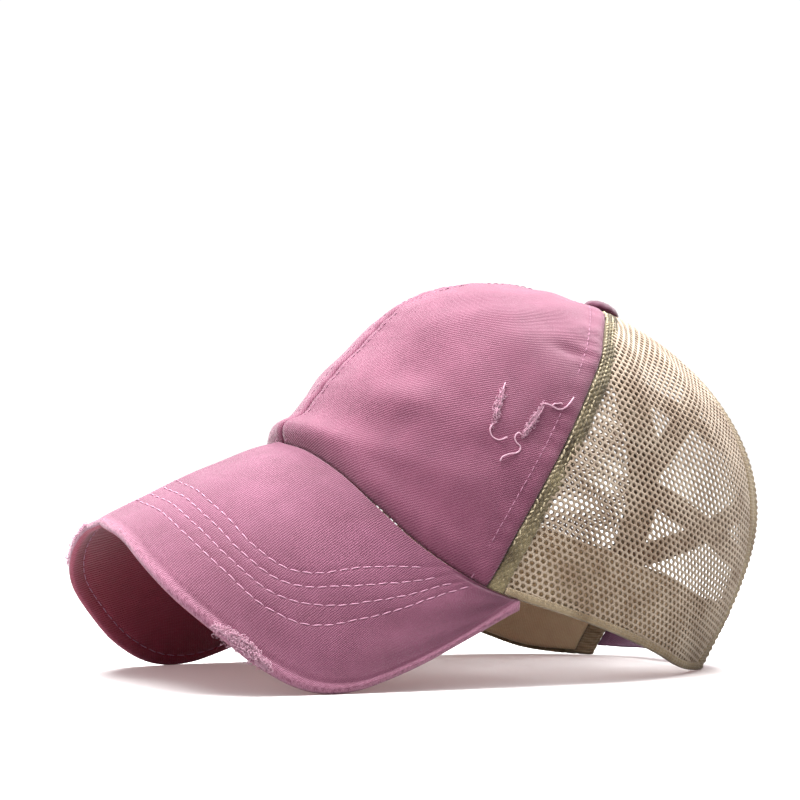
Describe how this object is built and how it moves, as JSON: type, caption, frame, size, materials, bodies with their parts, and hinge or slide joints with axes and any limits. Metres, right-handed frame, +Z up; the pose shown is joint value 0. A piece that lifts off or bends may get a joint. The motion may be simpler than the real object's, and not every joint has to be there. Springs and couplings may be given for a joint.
{
  "type": "ponytail baseball cap",
  "caption": "Baseball cap with washed twill front and bill, net sides and back, and a laced ponytail opening with crossed straps above a closure strap.",
  "frame": {"origin": "on the table under the middle of the cap's bounding box", "axes": "-Y the way the bill points, +X the wearer's left, +Z up"},
  "size_m": [0.1558, 0.2704, 0.1519],
  "materials": {
    "twill": "washed cotton twill",
    "net": "soft polyester net",
    "sweatband_cloth": "cotton twill",
    "webbing": "ribbed elastic",
    "button_cloth": "cotton twill"
  },
  "bodies": {
    "root": {"front_panel_left": "twill", "front_panel_right": "twill", "side_seam_left": "net", "side_seam_right": "net", "mesh_panel_left": "net", "mesh_panel_right": "net", "opening_hem_left": "net", "opening_hem_right": "net", "sweatband": "sweatband_cloth", "peak": "twill", "closure_strap": "twill", "cross_strap_upper_outer": "webbing", "cross_strap_upper_inner": "webbing", "cross_strap_lower_outer": "webbing", "cross_strap_lower_inner": "webbing", "top_button": "button_cloth"}
  },
  "joints": []
}
